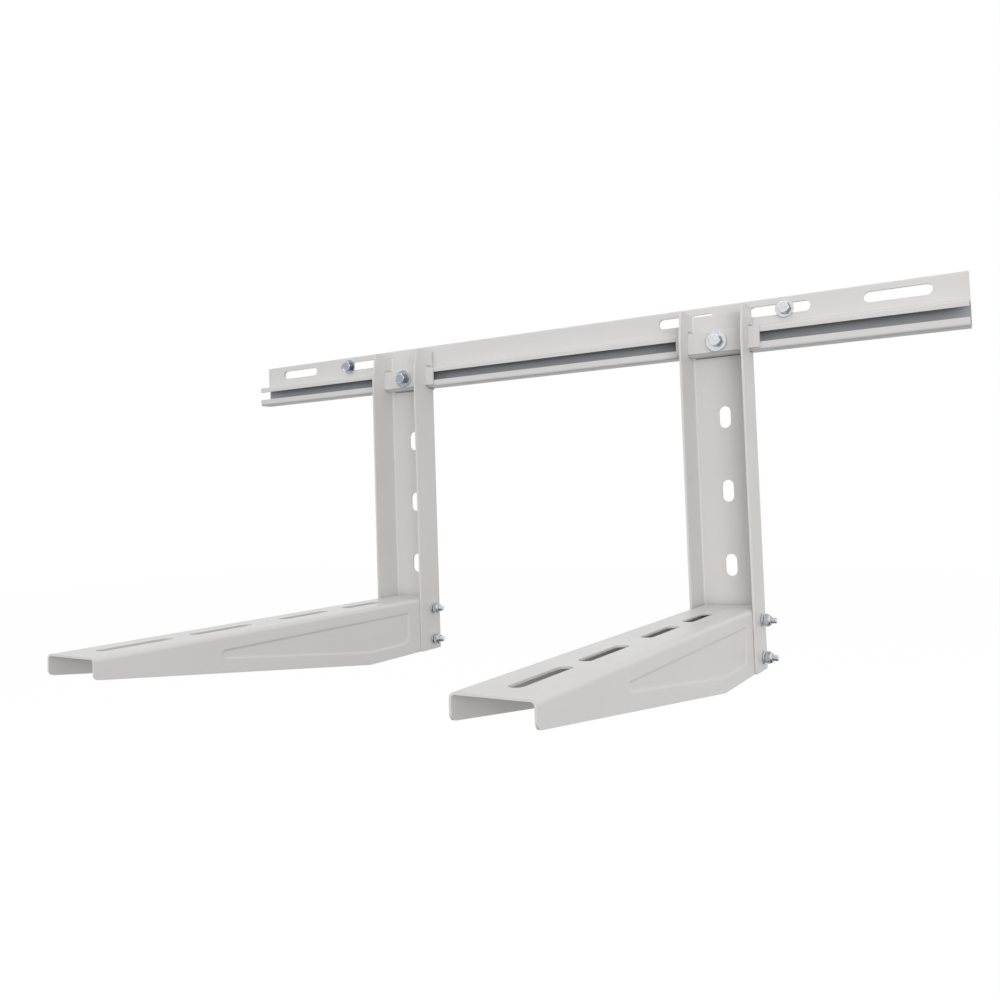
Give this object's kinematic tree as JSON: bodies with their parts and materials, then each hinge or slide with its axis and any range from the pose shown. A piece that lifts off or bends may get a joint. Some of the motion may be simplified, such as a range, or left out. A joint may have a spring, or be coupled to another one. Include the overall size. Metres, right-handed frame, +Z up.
{
  "type": "wall bracket",
  "caption": "Wall bracket of painted sheet steel: a slotted cross rail with an open channel, uprights clamped to it, and tapering slotted arms bolted to the uprights' feet.",
  "frame": {"origin": "middle of the rail's back face, on the wall's plane", "axes": "+X along the rail, to the right seen from the room; +Y into the wall; +Z up; the arms reach out along -Y"},
  "size_m": [0.8, 0.44, 0.3395],
  "materials": {
    "paint": "semi-gloss powder coat, warm light grey",
    "zinc": "bright zinc plate, slightly blue",
    "nylon": "plain"
  },
  "bodies": {
    "root": {"rail": "paint", "upright_left": "paint", "upright_right": "paint", "saddle_left": "paint", "saddle_right": "paint", "arm_left": "paint", "arm_right": "paint", "saddle_washer_left": "zinc", "saddle_washer_right": "zinc", "saddle_bolt_left": "zinc", "saddle_bolt_right": "zinc", "channel_nut_left": "zinc", "channel_nut_right": "zinc", "rail_washer_left": "zinc", "rail_washer_right": "zinc", "rail_screw_left": "zinc", "rail_screw_right": "zinc", "arm_washer_head_left_lower": "zinc", "arm_washer_head_left_upper": "zinc", "arm_washer_head_right_lower": "zinc", "arm_washer_head_right_upper": "zinc", "arm_bolt_left_lower": "zinc", "arm_bolt_left_upper": "zinc", "arm_bolt_right_lower": "zinc", "arm_bolt_right_upper": "zinc", "arm_washer_nut_left_lower": "zinc", "arm_washer_nut_left_upper": "zinc", "arm_washer_nut_right_lower": "zinc", "arm_washer_nut_right_upper": "zinc", "arm_nut_left_lower": "zinc", "arm_nut_left_upper": "zinc", "arm_nut_right_lower": "zinc", "arm_nut_right_upper": "zinc", "nut_insert_left_lower": "nylon", "nut_insert_left_upper": "nylon", "nut_insert_right_lower": "nylon", "nut_insert_right_upper": "nylon"}
  },
  "joints": []
}
